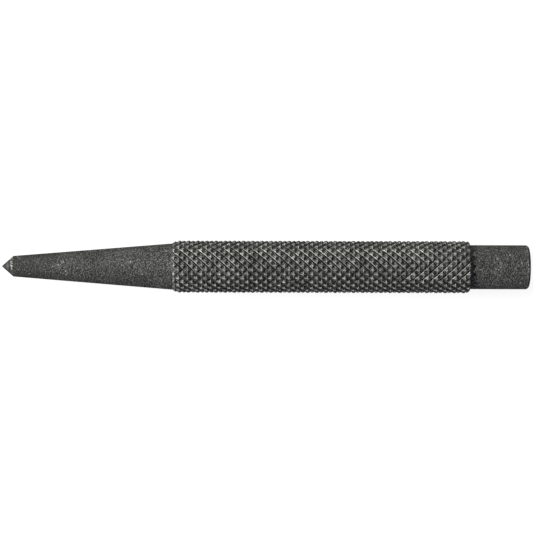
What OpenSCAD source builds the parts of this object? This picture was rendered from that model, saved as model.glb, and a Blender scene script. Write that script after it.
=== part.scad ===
// Centre punch: one bar of tool steel, turned, knurled and ground, in its four sections.
// Millimetres. It lies along X on the plane z = 0, with its point at -X and its head at +X.

/* [Point] */
// Diameter of the cone where it meets the shank
point_d = 4; // [2:0.1:7]
// Diameter of the small flat that the tip wears to
tip_d = 0.15; // [0.05:0.05:0.6]
// Included angle of the ground cone, in degrees
point_angle = 83; // [50:1:120]

/* [Shank] */
// Length of the taper, from the point to the grip
shank_length = 30.5; // [15:0.5:60]
// Diameter of the taper where it meets the grip
shank_d = 8.9; // [6:0.1:9.2]

/* [Grip] */
// Length of the knurled grip, from shoulder to shoulder
grip_length = 57.5; // [20:0.5:100]
// Diameter over the crests of the knurl
grip_d = 10.1; // [9.5:0.1:16]
// Spacing of neighbouring grooves, measured square to them
knurl_pitch = 1.25; // [0.8:0.05:2]
// Angle between the grooves and the axis, in degrees
knurl_angle = 45; // [30:0.5:50]
// Depth of the grooves under the crests
knurl_depth = 0.45; // [0.2:0.05:0.6]
// Length of the bevel at the shank's end of the grip
front_bevel = 0.6; // [0.2:0.05:1.5]
// Length of the bevel at the head's end of the grip
back_bevel = 0.35; // [0.2:0.05:1.5]

/* [Head] */
// Length of the plain head
head_length = 11.4; // [6:0.1:25]
// Diameter of the plain head
head_d = 8.5; // [5:0.1:9.2]
// Radius of the rounded rim round the striking face
rim_r = 0.6; // [0.2:0.1:2]

/* [Hidden] */
$fn = 96;

// The bar's sections follow each other from the tip.
point_length = (point_d - tip_d) / 2 / tan(point_angle / 2);
shank_start = point_length;
grip_start = shank_start + shank_length;
head_start = grip_start + grip_length;
overall_length = head_start + head_length;

// Grooves run both ways round the grip and leave rows of pyramids, each row shifted by half a pyramid.
grooves = round(PI * grip_d * cos(knurl_angle) / knurl_pitch);
columns = 2 * grooves;
column_angle = 360 / columns;
knurl_length = grip_length - front_bevel - back_bevel;
rows = round(2 * knurl_length * tan(knurl_angle) * grooves / (PI * grip_d));
row_step = knurl_length / rows;
crest_r = grip_d / 2;
root_r = crest_r - knurl_depth;

// The grip's skin is a stack of rings: the first and last are its shoulders, and the knurl is between.
last_ring = rows + 2;

// The grip lies on two neighbouring columns of crests.
grip_rest = crest_r * cos(column_angle / 2);
axis_height = max(grip_rest, shank_d / 2, head_d / 2);

blackened = "#4f4f4d";
ground = "#6b6a66";

// Sets a section in its place along the bar, and lays the bar down with its middle over the origin.
module along_bar(start) {
    translate([-overall_length / 2, 0, axis_height])
        rotate([0, 90, 0])
            translate([0, 0, start])
                children();
}

module ground_point() {
    color(ground)
        along_bar(0)
            cylinder(h = point_length, d1 = tip_d, d2 = point_d);
}

module tapered_shank() {
    color(blackened)
        along_bar(shank_start)
            cylinder(h = shank_length, d1 = point_d, d2 = shank_d);
}

function is_root(ring, column) = (ring + column) % 2 == 0;

function ring_radius(ring, column) =
    ring == 0 || ring == last_ring || is_root(ring, column) ? root_r : crest_r;

function ring_height(ring) =
    ring == 0 ? 0
    : ring == last_ring ? grip_length
    : front_bevel + (ring - 1) * row_step;

function skin_point(ring, column) =
    let (
        radius = ring_radius(ring, column),
        angle = (column + 0.5) * column_angle
    )
    [radius * cos(angle), radius * sin(angle), ring_height(ring)];

function skin_index(ring, column) = ring * columns + column % columns;

// The two triangles between neighbouring rings and columns, which meet along the bottom of a groove.
function skin_facets(ring, column) =
    let (
        low = skin_index(ring, column),
        high = skin_index(ring + 1, column),
        low_next = skin_index(ring, column + 1),
        high_next = skin_index(ring + 1, column + 1)
    )
    is_root(ring, column)
        ? [[low, high, high_next], [low, high_next, low_next]]
        : [[low, high, low_next], [high, high_next, low_next]];

module knurled_bar() {
    points = [
        for (ring = [0 : last_ring], column = [0 : columns - 1])
            skin_point(ring, column)
    ];
    facets = [
        for (ring = [0 : last_ring - 1], column = [0 : columns - 1])
            each skin_facets(ring, column)
    ];
    near_shoulder = [for (column = [0 : columns - 1]) skin_index(0, column)];
    far_shoulder = [for (column = [columns - 1 : -1 : 0]) skin_index(last_ring, column)];
    polyhedron(points, concat(facets, [near_shoulder, far_shoulder]));
}

module knurled_grip() {
    color(blackened)
        along_bar(grip_start)
            knurled_bar();
}

module striking_head() {
    head_r = head_d / 2;
    color(blackened)
        along_bar(head_start)
            rotate_extrude() {
                square([head_r, head_length - rim_r]);
                square([head_r - rim_r, head_length]);
                translate([head_r - rim_r, head_length - rim_r])
                    circle(rim_r);
            }
}

ground_point();
tapered_shank();
knurled_grip();
striking_head();
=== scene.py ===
import math

import bpy
import numpy as np
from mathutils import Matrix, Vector


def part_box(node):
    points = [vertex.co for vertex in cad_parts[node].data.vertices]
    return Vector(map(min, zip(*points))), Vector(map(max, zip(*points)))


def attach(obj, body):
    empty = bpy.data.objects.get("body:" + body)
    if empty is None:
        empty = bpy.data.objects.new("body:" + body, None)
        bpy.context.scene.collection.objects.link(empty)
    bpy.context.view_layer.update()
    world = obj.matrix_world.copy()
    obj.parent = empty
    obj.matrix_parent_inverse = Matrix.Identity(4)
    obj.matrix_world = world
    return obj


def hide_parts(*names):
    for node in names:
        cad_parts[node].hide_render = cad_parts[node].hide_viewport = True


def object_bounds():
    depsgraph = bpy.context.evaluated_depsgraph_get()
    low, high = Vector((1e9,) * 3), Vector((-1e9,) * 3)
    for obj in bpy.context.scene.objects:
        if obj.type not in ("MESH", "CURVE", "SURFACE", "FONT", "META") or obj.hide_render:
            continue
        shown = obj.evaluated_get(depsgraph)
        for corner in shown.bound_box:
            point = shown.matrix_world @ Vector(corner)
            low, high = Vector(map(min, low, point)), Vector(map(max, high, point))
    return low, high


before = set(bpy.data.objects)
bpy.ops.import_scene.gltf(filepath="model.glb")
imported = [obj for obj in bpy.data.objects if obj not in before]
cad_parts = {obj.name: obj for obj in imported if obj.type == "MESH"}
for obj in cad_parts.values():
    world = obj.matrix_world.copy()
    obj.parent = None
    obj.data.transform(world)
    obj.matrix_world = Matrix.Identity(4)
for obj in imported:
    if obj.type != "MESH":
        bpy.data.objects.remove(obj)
cad_low, cad_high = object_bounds()

# A centre punch on a pale floor, seen straight from above; the bar lies along X, with its point at -X
MM = 0.001

# The bar's sections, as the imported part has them
point_low, point_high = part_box("ground_point")
shank_low, shank_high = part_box("tapered_shank")
grip_low, grip_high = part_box("knurled_grip")
head_low, head_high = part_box("striking_head")
axis_z = (head_low.z + head_high.z) / 2
point_r = (point_high.z - point_low.z) / 2
shank_r = (shank_high.z - shank_low.z) / 2
head_r = (head_high.z - head_low.z) / 2

# The turned and ground surfaces; edges that bend by more than the sharp angle stay crisp
TIP_R = 0.08 * MM
POINT_EDGE_ROUND = 0.3 * MM
HEAD_RIM = 0.6 * MM
FACE_DISC_R = 0.6 * MM  # the middle of the striking face is one disc
LATHE_SIDES = 160
ARC_STEPS = 8
TURNED_SHARP = math.radians(35)

# The knurl: one set of grooves falls and one rises from left to right, and they cross at equal angles
GROOVES = 18
AXIAL_PITCH = 1.767 * MM
FIRST_CREST = 1.55 * MM  # from the grip's front shoulder
CREST_TURN = math.radians(92.5)  # where that crest is, round the bar
RIDGE_ROUND = 0.01 * MM
UNEVEN = 0.012 * MM
SEED = 5
STEPS = 8  # rings of the skin to half a pitch
END_GAP = 0.01  # least space between a ring and a shoulder, in steps
KNURL_SHARP = math.radians(20)
crest_r = (grip_high.z - grip_low.z) / 2 / math.cos(math.pi / (2 * GROOVES))

# Half a groove's section: distance from its middle, in pitches, and depth there under the crests
DEEP_GROOVE = (
    (0.0, 0.53 * MM),
    (0.07, 0.47 * MM),
    (0.15, 0.24 * MM),
    (0.3, 0.1 * MM),
    (0.4, 0.015 * MM),
    (0.5, 0.0),
)
SHALLOW_GROOVE = (
    (0.0, 0.355 * MM),
    (0.1, 0.35 * MM),
    (0.2, 0.28 * MM),
    (0.3, 0.13 * MM),
    (0.4, 0.02 * MM),
    (0.5, 0.0),
)

# Which set is pressed deeper: the falling one, and past a slanted line near the head the rising one
DEEP_CHANGES_AT = 0.82  # share of the grip's length
DEEP_CHANGES_OVER = 0.14
DEEP_SLANT = 0.12
FALLING_PRESSED_AT = math.radians(20)  # turn at which a set is pressed hardest
RISING_PRESSED_AT = math.radians(-8)
RISING_PRESSED = 0.7  # against 1 for the falling set
PRESSED_FROM = 0.85  # cosines of the turn from there, where the deeper section starts and is full
PRESSED_TO = 0.97

# A deeper groove's burrs, and the hollow between burr and crest; places are in pitches from its middle
LIP = 0.12 * MM
LIP_AT = 0.15
LIP_HALF = 0.09
LEDGE = 0.05 * MM
LEDGE_AT = 0.3

# The grip's bevelled ends: distance from the shoulder, and radius there
FRONT_BEVEL = (
    (0.0, shank_r + 0.03 * MM),
    (0.5 * MM, 4.84 * MM),
    (1.3 * MM, 5.02 * MM),
    (2.2 * MM, 5.2 * MM),
)
BACK_BEVEL = (
    (0.0, 4.68 * MM),
    (0.4 * MM, 5.02 * MM),
    (1.0 * MM, 5.2 * MM),
)

# How much the knurl's colour is lightened on edges and darkened in hollows, which its mesh carries to
# its material: 1 on an edge, for wear and a painted highlight, -1 in a hollow, for painted shade
EDGE = "edge"
EDGE_HEIGHT = 0.06 * MM  # standing out from its neighbours by this much is an edge
# Burrs and pyramid tips are lightened for wear and as painted highlights and glints
LIP_WEAR_AND_HIGHLIGHT = 0.5
TIP_WEAR_AND_GLINT = 0.6
TIP_DEPTH = 0.04 * MM  # the top of a pyramid ends at this depth

# Blackened steel: dark and light are the levels of its blotches, and the others are shares of these
STEEL_TINT = (0.992, 1.0, 0.955)
SHANK_TINT = (1.003, 1.0, 0.985)
# The shank's levels are lower than the head's, as painted shade for a taper that faces the key more
SHANK_SHADED_DARK = 0.049
SHANK_SHADED_LIGHT = 0.063
HEAD_DARK = 0.058
HEAD_LIGHT = 0.075
KNURL_DARK = 0.057
KNURL_LIGHT = 0.074
# Darkest share: for dull grain cells, and for the painted shade in the knurl's hollows
DULL_AND_SHADE_LEVEL = 0.1
GRAIN_LEVEL = 3.0
SPECK_GLINT_LEVEL = 5.0
WORN_AND_HIGHLIGHT_LEVEL = 5.5
BLOTCH = 3.5 * MM
NOISE_SPAN = (0.3, 0.7)  # most of a noise's values lie in it

# Its grain of dull and bright cells, which is stronger in patches and weaker towards the point
STEEL_GRAIN = 0.15 * MM
STEEL_CONTRAST = 1.25
KNURL_GRAIN = 0.2 * MM
KNURL_CONTRAST = 1.2
GRAIN_SPREAD = 0.4
GRAIN_DARK = 0.4
GRAIN_PATCH = 7.0 * MM
GRAIN_PATCHY = 0.3
GRAIN_FADE = 22.0 * MM
GRAIN_AT_POINT = 0.35

# Its bright specks, painted as glints, and the knurl's wear with its painted highlights and painted
# shade
SPECK = 0.3 * MM
SPECK_FROM = 0.88
SPECK_OVER = 0.05
SPECK_GLINT_SHARE = 0.8
EDGE_WEAR_AND_HIGHLIGHT = 0.8
WEAR_PATCH = 1.3 * MM
WEAR_PATCHY = 0.85
WEAR_SPAN = (0.35, 0.65)
# Share of painted shade in the knurl's hollows
HOLLOW_SHADE = 0.8

# Its gloss and relief
STEEL_METAL = 0.2
KNURL_METAL = 0.3
STEEL_ROUGH = 0.5
STEEL_SPECULAR = 0.0
STEEL_EDGE = 0.3  # tint of the gloss at a grazing angle
RELIEF_SIZE = 0.2 * MM
STEEL_RELIEF = 0.2 * MM
KNURL_RELIEF = 0.15 * MM

# The ground cone, with rings that the wheel left
POINT_DARK = 0.004
POINT_LIGHT = 0.1
POINT_METAL = 0.3
POINT_ROUGH = (0.38, 0.5)
RING_APART = 0.09 * MM
RING_LONG = 1.4 * MM
RING_SPAN = (0.35, 0.68)
RING_RELIEF = 0.02 * MM
RING_BUMP = 0.7

# Painted highlights in a broken line along two edges: the cone's burr, and the head's rim
BURR_AT = point_high.x - 0.02 * MM
BURR_HALF = 0.4 * MM
BURR_LEAN = 0.17
BURR_HIGHLIGHT = 0.6
RIM_AT = head_high.x - 0.51 * MM
RIM_HALF = 0.2 * MM
RIM_LEAN = 0.0
RIM_HIGHLIGHT = 0.5
HIGHLIGHT_BREAK_SIZE = 0.3 * MM
HIGHLIGHT_BREAK_FROM = 0.5
HIGHLIGHT_BREAK_OVER = 0.15

# The studio, in metres: a round floor with an upturned rim, and the light
FLOOR_R = 3.0
FLOOR_BEND = FLOOR_R / 4
FLOOR_RIM_R = FLOOR_R * 1.1
FLOOR_RIM_Z = FLOOR_R / 3
FLOOR_SIDES = 96
FLOOR_Z = -0.02 * MM
FLOOR_COLOUR = 0.15
FLOOR_GLOW = 0.92  # near the bar; it grows to full white between the two distances
FLOOR_GLOW_OVER = (0.1, 0.8)
AMBIENT = 0.03
WHITE = (1.0, 1.0, 1.0)
KEY_COLOUR = (0.99, 1.0, 0.93)
SKY_COLOUR = (1.02, 1.0, 1.45)

# The photograph's framing, in its own pixels, and the camera
FRAME_PX = 533
TIP_PX = 2.2
END_PX = 528.4
AXIS_AT_LEFT_PX = 266.2  # row of the bar's axis at the frame's two sides
AXIS_AT_RIGHT_PX = 267.3
CAMERA_PX = 1960  # distance from the camera to the bar's axis
SENSOR = 36.0
NEAR_CLIP = 1.0 * MM


def height_at(outline, place):
    """Height of an outline, a row of (place, height) corners, at a place along it."""
    places, heights = zip(*outline)
    return np.interp(place, places, heights)


def rounded(corners):
    """An outline through (place, height, rounding) corners, with an arc at each that has a rounding."""
    points = []
    for k, (place, height, rounding) in enumerate(corners):
        if not rounding:
            points.append((place, height))
            continue
        here = Vector((place, height))
        back = (Vector(corners[k - 1][:2]) - here).normalized()
        ahead = (Vector(corners[k + 1][:2]) - here).normalized()
        half = back.angle(ahead) / 2
        centre = here + (back + ahead).normalized() * (rounding / math.sin(half))
        start = here + back * (rounding / math.tan(half)) - centre
        end = here + ahead * (rounding / math.tan(half)) - centre
        turn = math.pi - 2 * half
        for step in range(ARC_STEPS + 1):
            share = step / ARC_STEPS
            spoke = start * math.sin((1 - share) * turn) + end * math.sin(share * turn)
            points.append(tuple(centre + spoke / math.sin(turn)))
    return points


def cut(outline, start, end):
    """The stretch of an outline between two places along it."""
    inside = [corner for corner in outline if start < corner[0] < end]
    return [(start, height_at(outline, start)), *inside, (end, height_at(outline, end))]


def mesh_piece(name, points, faces, material, sharp):
    """A smooth mesh, on which edges that bend by more than the sharp angle stay crisp."""
    mesh = bpy.data.meshes.new(name)
    mesh.from_pydata(points, [], faces)
    mesh.validate()
    mesh.materials.append(material)
    mesh.shade_smooth()
    mesh.set_sharp_from_angle(angle=sharp)
    piece = bpy.data.objects.new(name, mesh)
    bpy.context.scene.collection.objects.link(piece)
    return piece


def ring_points(x, radius, turns):
    """Points of one ring round the bar; turn 0 is on top, and a quarter turn is at the far side."""
    along = np.full(turns.shape, x)
    return np.stack([along, radius * np.sin(turns), axis_z + radius * np.cos(turns)], 1)


def ring_quad(ring, k, sides):
    """Points of the quad between two neighbouring rings, at side k."""
    low = ring * sides + k
    high = ring * sides + (k + 1) % sides
    return low, low + sides, high + sides, high


def end_faces(rings, sides):
    """The flat faces that close a stack of rings."""
    last = (rings - 1) * sides
    return [tuple(range(sides)), tuple(range(last + sides - 1, last - 1, -1))]


def lathe(name, outline, material):
    """A closed solid of revolution about the bar's axis."""
    turns = np.arange(LATHE_SIDES) * 2 * math.pi / LATHE_SIDES
    points = np.concatenate([ring_points(x, radius, turns) for x, radius in outline])
    faces = end_faces(len(outline), LATHE_SIDES)
    for ring in range(len(outline) - 1):
        for k in range(LATHE_SIDES):
            faces.append(ring_quad(ring, k, LATHE_SIDES))
    return mesh_piece(name, points.tolist(), faces, material, TURNED_SHARP)


def smooth_step(t):
    """0 up to t = 0, 1 from t = 1, and a soft rise between."""
    t = np.clip(t, 0, 1)
    return t * t * (3 - 2 * t)


def smooth_max(a, b, width):
    """The larger of two values, with the corner between them rounded off."""
    blend = np.clip(0.5 + 0.5 * (a - b) / width, 0, 1)
    return b + (a - b) * blend + width * blend * (1 - blend)


def from_groove(phase):
    """Distance from the nearest groove, in pitches; crests lie at whole numbers of phase."""
    return 0.5 - np.abs(phase - np.round(phase))


def groove(phase, deep_share):
    """Depth of one set of grooves, with the hollow beside a deeper one."""
    away = from_groove(phase)
    shallow = height_at(SHALLOW_GROOVE, away)
    deep = height_at(DEEP_GROOVE, away)
    ledge = LEDGE * smooth_step(1 - np.abs(away - LEDGE_AT) / LIP_HALF)
    return shallow + (deep - shallow) * deep_share + ledge * deep_share


def lip(phase):
    """The burr that a deeper groove throws up on each side of it: 1 on its top, 0 off it."""
    return smooth_step(1 - np.abs(from_groove(phase) - LIP_AT) / LIP_HALF)


def pressed(turn):
    """How hard a set of grooves is pressed in, round the bar: hardest on two opposite sides."""
    return smooth_step((np.abs(np.cos(turn)) - PRESSED_FROM) / (PRESSED_TO - PRESSED_FROM))


def knurl(x, turn):
    """Depth below the crests, whether the groove there is a falling one, and where the burrs are."""
    along = (x - grip_low.x - FIRST_CREST) / AXIAL_PITCH
    about = (turn - CREST_TURN) * GROOVES / (2 * math.pi)
    falling, rising = along + about, along - about
    share = (x - grip_low.x) / (grip_high.x - grip_low.x)
    past = (share - DEEP_CHANGES_AT - DEEP_SLANT * np.sin(turn)) / DEEP_CHANGES_OVER
    change = smooth_step(past + 0.5)
    falling_share = (1 - change) * pressed(turn - FALLING_PRESSED_AT)
    rising_share = RISING_PRESSED * change * pressed(turn - RISING_PRESSED_AT)
    falling_lip = lip(falling) * falling_share
    rising_lip = lip(rising) * rising_share
    falling_depth = groove(falling, falling_share) - LIP * rising_lip
    rising_depth = groove(rising, rising_share) - LIP * falling_lip
    depth = smooth_max(falling_depth, rising_depth, RIDGE_ROUND)
    return depth, falling_depth > rising_depth, np.maximum(falling_lip, rising_lip)


def proud(radii):
    """How far each point of a skin stands out from its four neighbours."""
    along = np.pad(radii, ((1, 1), (0, 0)), mode="edge")
    neighbours = along[:-2] + along[2:] + np.roll(radii, 1, 1) + np.roll(radii, -1, 1)
    return radii - neighbours / 4


def bevel_radius(x):
    """Radius over the crests, which the bevels take down at the grip's ends."""
    front = height_at(FRONT_BEVEL, x - grip_low.x)
    back = height_at(BACK_BEVEL, grip_high.x - x)
    return min(crest_r, front, back)


def knurled_grip(name, material):
    """The grip's skin: a fine lattice of rings and columns, on which the grooves are diagonals."""
    columns = 2 * GROOVES * STEPS
    turns = CREST_TURN + np.arange(columns) * 2 * math.pi / columns
    step = AXIAL_PITCH / 2 / STEPS
    first = grip_low.x + FIRST_CREST
    before = math.floor((first - grip_low.x) / step - END_GAP)
    after = math.floor((grip_high.x - first) / step - END_GAP)
    places = [grip_low.x, *(first + k * step for k in range(-before, after + 1)), grip_high.x]

    radii = []
    wear_and_highlight = []
    for x in places:
        depth, _, burr = knurl(x, turns)
        radii.append(np.maximum(bevel_radius(x) - depth, shank_r))
        wear_and_highlight.append(LIP_WEAR_AND_HIGHLIGHT * burr + TIP_WEAR_AND_GLINT * smooth_step(1 - depth / TIP_DEPTH))
    radii = np.array(radii)
    radii[1:-1] += np.random.default_rng(SEED).normal(0, UNEVEN, radii[1:-1].shape)
    radii = np.clip(radii, shank_r, crest_r)
    points = np.concatenate([ring_points(x, radius, turns) for x, radius in zip(places, radii)])
    # Proud points are lightened for wear and a painted highlight, and sunken ones darkened as painted
    # shade
    edges = np.clip(proud(radii) / EDGE_HEIGHT + np.array(wear_and_highlight), -1, 1)

    # Each quad is split along the groove that it lies in
    faces = end_faces(len(places), columns)
    half_column = math.pi / columns
    for ring in range(len(places) - 1):
        _, falls, _ = knurl((places[ring] + places[ring + 1]) / 2, turns + half_column)
        for k in range(columns):
            a, b, c, d = ring_quad(ring, k, columns)
            faces += [(a, b, d), (b, c, d)] if falls[k] else [(a, b, c), (a, c, d)]

    piece = mesh_piece(name, points.tolist(), faces, material, KNURL_SHARP)
    edge = piece.data.attributes.new(EDGE, "FLOAT", "POINT")
    edge.data.foreach_set("value", edges.ravel().astype(np.float32))
    return piece


def new_tree(name):
    """A material and its empty node tree."""
    material = bpy.data.materials.new(name)
    material.use_nodes = True
    material.node_tree.nodes.clear()
    return material, material.node_tree


def feed(tree, socket, value):
    """Links a socket to another one, or sets it to a value."""
    if isinstance(value, bpy.types.NodeSocket):
        tree.links.new(value, socket)
    else:
        socket.default_value = value


def add(tree, kind, settings=None, **sockets):
    """A shader node, with its settings, and its sockets fed by their names."""
    made = tree.nodes.new(kind)
    for key, value in (settings or {}).items():
        setattr(made, key, value)
    for key, value in sockets.items():
        feed(tree, made.inputs[key.replace("_", " ")], value)
    return made


def position(tree):
    """The place on a piece, in metres."""
    return add(tree, "ShaderNodeTexCoord").outputs["Object"]


def noise(tree, size, detail=1.0, roughness=0.55):
    """Noise whose features are about a given size, in metres."""
    made = add(
        tree, "ShaderNodeTexNoise",
        Vector=position(tree), Scale=1 / size, Detail=detail, Roughness=roughness,
    )
    return made.outputs["Fac"]


def cells(tree, size):
    """Cells of a given size, in metres, each with a tone of its own."""
    return add(tree, "ShaderNodeTexVoronoi", Vector=position(tree), Scale=1 / size).outputs["Color"]


def ranged(tree, value, low, high, to_low=0.0, to_high=1.0):
    """A value taken from one range to another, and kept inside it."""
    made = add(
        tree, "ShaderNodeMapRange",
        Value=value, From_Min=low, From_Max=high, To_Min=to_low, To_Max=to_high,
    )
    return made.outputs["Result"]


def maths(tree, operation, first, second):
    made = add(tree, "ShaderNodeMath", {"operation": operation})
    feed(tree, made.inputs[0], first)
    feed(tree, made.inputs[1], second)
    return made.outputs[0]


def times(tree, first, second):
    return maths(tree, "MULTIPLY", first, second)


def vector_maths(tree, operation, first, second=(0.0, 0.0, 0.0)):
    made = add(tree, "ShaderNodeVectorMath", {"operation": operation})
    feed(tree, made.inputs[0], first)
    feed(tree, made.inputs[1], second)
    return made.outputs["Value"]


def mixed(tree, share, first, second):
    """A colour between two colours; the Mix node's colour sockets are told apart by number alone."""
    made = add(tree, "ShaderNodeMix", {"data_type": "RGBA"})
    for index, value in ((0, share), (6, first), (7, second)):
        feed(tree, made.inputs[index], value)
    return made.outputs[2]


def grey(level):
    return (level, level, level, 1.0)


def tinted(tint, level):
    return (*(level * part for part in tint), 1.0)


def highlight_line(tree, colour, at, half, lean, level):
    """A colour with a broken painted highlight round the bar, along an edge."""
    along = vector_maths(tree, "DOT_PRODUCT", position(tree), (1.0, lean, 0.0))
    rise = ranged(tree, along, at - half, at)
    fall = ranged(tree, along, at, at + half, 1.0, 0.0)
    broken = ranged(tree, noise(tree, HIGHLIGHT_BREAK_SIZE), HIGHLIGHT_BREAK_FROM, HIGHLIGHT_BREAK_FROM + HIGHLIGHT_BREAK_OVER)
    return mixed(tree, times(tree, times(tree, rise, fall), broken), colour, grey(level))


def grained(tree, tint, dark, light, size, contrast):
    """The colour of blackened steel: soft blotches under a grain of dull and bright cells."""
    blotch = ranged(tree, noise(tree, BLOTCH, detail=3.0), *NOISE_SPAN)
    base = mixed(tree, blotch, tinted(tint, dark), tinted(tint, light))
    grain = cells(tree, size)
    dull = ranged(tree, grain, 0.5 - GRAIN_SPREAD, 0.5, contrast * GRAIN_DARK, 0.0)
    dulled = mixed(tree, dull, base, tinted(tint, dark * DULL_AND_SHADE_LEVEL))
    bright = ranged(tree, grain, 0.5, 0.5 + GRAIN_SPREAD, 0.0, contrast)
    patch = ranged(tree, noise(tree, GRAIN_PATCH), *NOISE_SPAN, 1 - GRAIN_PATCHY, 1 + GRAIN_PATCHY)
    along = add(tree, "ShaderNodeSeparateXYZ", Vector=position(tree)).outputs["X"]
    fade = ranged(tree, along, point_high.x, point_high.x + GRAIN_FADE, GRAIN_AT_POINT, 1.0)
    strength = times(tree, times(tree, bright, patch), fade)
    return mixed(tree, strength, dulled, tinted(tint, light * GRAIN_LEVEL))


def finish_metal(tree, colour, roughness, metallic, height, distance, strength=1.0):
    """The metal's shader, with a height as its fine relief."""
    bump = add(tree, "ShaderNodeBump", Height=height, Distance=distance, Strength=strength)
    shader = add(
        tree, "ShaderNodeBsdfPrincipled",
        Base_Color=colour, Metallic=metallic, Roughness=roughness, Normal=bump.outputs["Normal"],
        Specular_IOR_Level=STEEL_SPECULAR, Specular_Tint=grey(STEEL_EDGE),
    )
    add(tree, "ShaderNodeOutputMaterial", Surface=shader.outputs["BSDF"])


def pitted(tree):
    return noise(tree, RELIEF_SIZE, roughness=0.5)


def specked(tree, tint, dark, light):
    """The plain sections' grain, with a few bright specks painted as glints."""
    colour = grained(tree, tint, dark, light, STEEL_GRAIN, STEEL_CONTRAST)
    speck = ranged(tree, cells(tree, SPECK), SPECK_FROM, SPECK_FROM + SPECK_OVER, 0.0, SPECK_GLINT_SHARE)
    return mixed(tree, speck, colour, tinted(tint, light * SPECK_GLINT_LEVEL))


def shank_steel():
    material, tree = new_tree("blackened_shank")
    colour = specked(tree, SHANK_TINT, SHANK_SHADED_DARK, SHANK_SHADED_LIGHT)
    finish_metal(tree, colour, STEEL_ROUGH, STEEL_METAL, pitted(tree), STEEL_RELIEF)
    return material


def head_steel():
    """The head's steel, with a painted highlight along the rim."""
    material, tree = new_tree("blackened_head")
    colour = specked(tree, STEEL_TINT, HEAD_DARK, HEAD_LIGHT)
    # Painted highlight along the rim
    colour = highlight_line(tree, colour, RIM_AT, RIM_HALF, RIM_LEAN, RIM_HIGHLIGHT)
    finish_metal(tree, colour, STEEL_ROUGH, STEEL_METAL, pitted(tree), STEEL_RELIEF)
    return material


def knurl_steel():
    """The knurl's steel: lighter on edges in patches, for wear and a painted highlight, and darker in
    hollows, as painted shade.
    """
    material, tree = new_tree("blackened_knurl")
    colour = grained(tree, STEEL_TINT, KNURL_DARK, KNURL_LIGHT, KNURL_GRAIN, KNURL_CONTRAST)
    edge = add(tree, "ShaderNodeAttribute", {"attribute_name": EDGE}).outputs["Fac"]
    patch = ranged(tree, noise(tree, WEAR_PATCH), *WEAR_SPAN, 1 - WEAR_PATCHY, 1 + WEAR_PATCHY)
    # Edges lighter in patches: wear and a painted highlight
    rubbed_and_lit = times(tree, ranged(tree, edge, 0.0, 1.0, 0.0, EDGE_WEAR_AND_HIGHLIGHT), patch)
    worn_and_lit = mixed(tree, rubbed_and_lit, colour, tinted(STEEL_TINT, KNURL_LIGHT * WORN_AND_HIGHLIGHT_LEVEL))
    # Painted shade in the hollows
    hollow = ranged(tree, edge, -1.0, 0.0, HOLLOW_SHADE, 0.0)
    dulled = mixed(tree, hollow, worn_and_lit, tinted(STEEL_TINT, KNURL_DARK * DULL_AND_SHADE_LEVEL))
    finish_metal(tree, dulled, STEEL_ROUGH, KNURL_METAL, pitted(tree), KNURL_RELIEF)
    return material


def ground_steel():
    """The cone's steel: fine rings that are bright where they are proud, and a painted highlight along
    the burr at its edge.
    """
    material, tree = new_tree("ground_steel")
    stretch = (1 / RING_APART, 1 / RING_LONG, 1 / RING_LONG)
    place = add(tree, "ShaderNodeMapping", Vector=position(tree), Scale=stretch).outputs["Vector"]
    rings = add(tree, "ShaderNodeTexNoise", Vector=place, Scale=1.0, Detail=2.0).outputs["Fac"]
    ground = mixed(tree, ranged(tree, rings, *RING_SPAN), grey(POINT_DARK), grey(POINT_LIGHT))
    # Painted highlight along the burr
    colour = highlight_line(tree, ground, BURR_AT, BURR_HALF, BURR_LEAN, BURR_HIGHLIGHT)
    roughness = ranged(tree, rings, *NOISE_SPAN, *POINT_ROUGH)
    finish_metal(tree, colour, roughness, POINT_METAL, rings, RING_RELIEF, RING_BUMP)
    return material


def seen_white(tree):
    """1 for the rays in which the background shows, 0 for those that light the bar."""
    path = add(tree, "ShaderNodeLightPath").outputs
    seen = maths(tree, "MAXIMUM", path["Is Camera Ray"], path["Is Glossy Ray"])
    return maths(tree, "MAXIMUM", seen, path["Is Transmission Ray"])


def floor_paint():
    """A dull grey that keeps the bar's shadow, with a glow that makes it white where it is seen."""
    material, tree = new_tree("pale_floor")
    away = vector_maths(tree, "LENGTH", position(tree))
    shown = times(tree, ranged(tree, away, *FLOOR_GLOW_OVER, FLOOR_GLOW, 1.0), seen_white(tree))
    lit = add(tree, "ShaderNodeBsdfDiffuse", Color=grey(FLOOR_COLOUR))
    glow = add(tree, "ShaderNodeEmission", Color=grey(1.0), Strength=shown)
    both = add(tree, "ShaderNodeAddShader")
    feed(tree, both.inputs[0], lit.outputs[0])
    feed(tree, both.inputs[1], glow.outputs[0])
    add(tree, "ShaderNodeOutputMaterial", Surface=both.outputs[0])
    return material


def pale_floor():
    """A round floor with an upturned rim."""
    corners = [(0.0, 0.0, 0.0), (FLOOR_R, 0.0, FLOOR_BEND), (FLOOR_RIM_R, FLOOR_RIM_Z, 0.0)]
    centre, *outline = rounded(corners)
    turns = [k * 2 * math.pi / FLOOR_SIDES for k in range(FLOOR_SIDES)]
    points = [(r * math.cos(turn), r * math.sin(turn), z) for r, z in outline for turn in turns]
    faces = []
    for ring in range(len(outline) - 1):
        for k in range(FLOOR_SIDES):
            faces.append(ring_quad(ring, k, FLOOR_SIDES))
    for k in range(FLOOR_SIDES):
        faces.append((len(points), k, (k + 1) % FLOOR_SIDES))
    points.append((0.0, 0.0, centre[1]))
    floor = mesh_piece("floor", points, faces, floor_paint(), TURNED_SHARP)
    floor.location.z = FLOOR_Z


def dim_world():
    world = bpy.data.worlds.new("studio")
    bpy.context.scene.world = world
    world.use_nodes = True
    tree = world.node_tree
    tree.nodes.clear()
    sky = add(tree, "ShaderNodeBackground", Color=(*SKY_COLOUR, 1.0), Strength=AMBIENT)
    add(tree, "ShaderNodeOutputWorld", Surface=sky.outputs[0])


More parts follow.
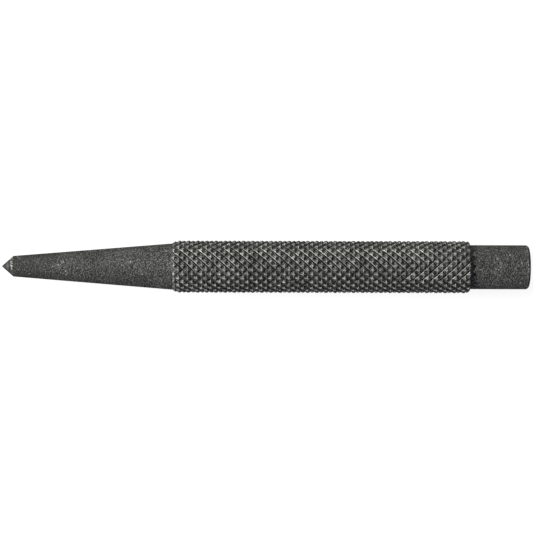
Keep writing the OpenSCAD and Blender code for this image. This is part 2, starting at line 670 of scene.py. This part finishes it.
def softbox(name, left, up, distance, width, level, colour):
    """A square lamp, at degrees left and up of the camera, that faces the bar and isn't seen itself.

    White paper that faces a lamp of level 1 renders as white.
    """
    lamp = bpy.data.lights.new(name, "AREA")
    lamp.size = width
    lamp.energy = level * (math.pi * distance) ** 2
    lamp.color = colour
    made = bpy.data.objects.new(name, lamp)
    bpy.context.scene.collection.objects.link(made)
    left, up = math.radians(left), math.radians(up)
    towards = Vector((-math.sin(left) * math.cos(up), math.sin(up), math.cos(left) * math.cos(up)))
    made.location = Vector((0, 0, axis_z)) + towards * distance
    made.rotation_euler = (-towards).to_track_quat("-Z", "Y").to_euler()
    made.visible_camera = False


def overhead_camera():
    """Straight down on the bar, with the photograph's framing."""
    px = (cad_high.x - cad_low.x) / (END_PX - TIP_PX)
    camera = bpy.data.cameras.new("camera")
    camera.sensor_width = SENSOR
    camera.lens = SENSOR * CAMERA_PX / FRAME_PX
    camera.clip_start = NEAR_CLIP
    made = bpy.data.objects.new("camera", camera)
    bpy.context.scene.collection.objects.link(made)
    centre_x = (cad_low.x + cad_high.x) / 2 + (FRAME_PX / 2 - (TIP_PX + END_PX) / 2) * px
    centre_y = ((AXIS_AT_LEFT_PX + AXIS_AT_RIGHT_PX) / 2 - FRAME_PX / 2) * px
    roll = math.atan((AXIS_AT_RIGHT_PX - AXIS_AT_LEFT_PX) / FRAME_PX)
    made.location = (centre_x, centre_y, axis_z + CAMERA_PX * px)
    made.rotation_euler = (0, 0, roll)
    bpy.context.scene.camera = made


def place_piece(piece, node):
    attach(piece, "root")
    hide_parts(node)


bpy.context.scene.view_settings.view_transform = "Standard"
overhead_camera()
pale_floor()
dim_world()
softbox("key", left=61, up=5, distance=0.9, width=0.2, level=1.8, colour=KEY_COLOUR)
softbox("top", left=0, up=60, distance=0.6, width=0.4, level=0.2, colour=WHITE)
softbox("low", left=0, up=-84, distance=0.6, width=0.4, level=0.12, colour=SKY_COLOUR)
softbox("fill", left=-86, up=0, distance=0.6, width=0.3, level=0.15, colour=WHITE)

# The point and the shank share one outline, so that the round between them runs on
front_outline = rounded([
    (point_low.x, TIP_R, 0.0),
    (point_high.x, point_r, POINT_EDGE_ROUND),
    (shank_high.x, shank_r, 0.0),
])
head_outline = rounded([
    (head_low.x, head_r, 0.0),
    (head_high.x, head_r, HEAD_RIM),
    (head_high.x, FACE_DISC_R, 0.0),
])

point_piece = lathe("ground_point_skin", cut(front_outline, point_low.x, point_high.x), ground_steel())
place_piece(point_piece, "ground_point")
shank_piece = lathe("tapered_shank_skin", cut(front_outline, shank_low.x, shank_high.x), shank_steel())
place_piece(shank_piece, "tapered_shank")
grip_piece = knurled_grip("knurled_grip_skin", knurl_steel())
place_piece(grip_piece, "knurled_grip")
head_piece = lathe("striking_head_skin", head_outline, head_steel())
place_piece(head_piece, "striking_head")
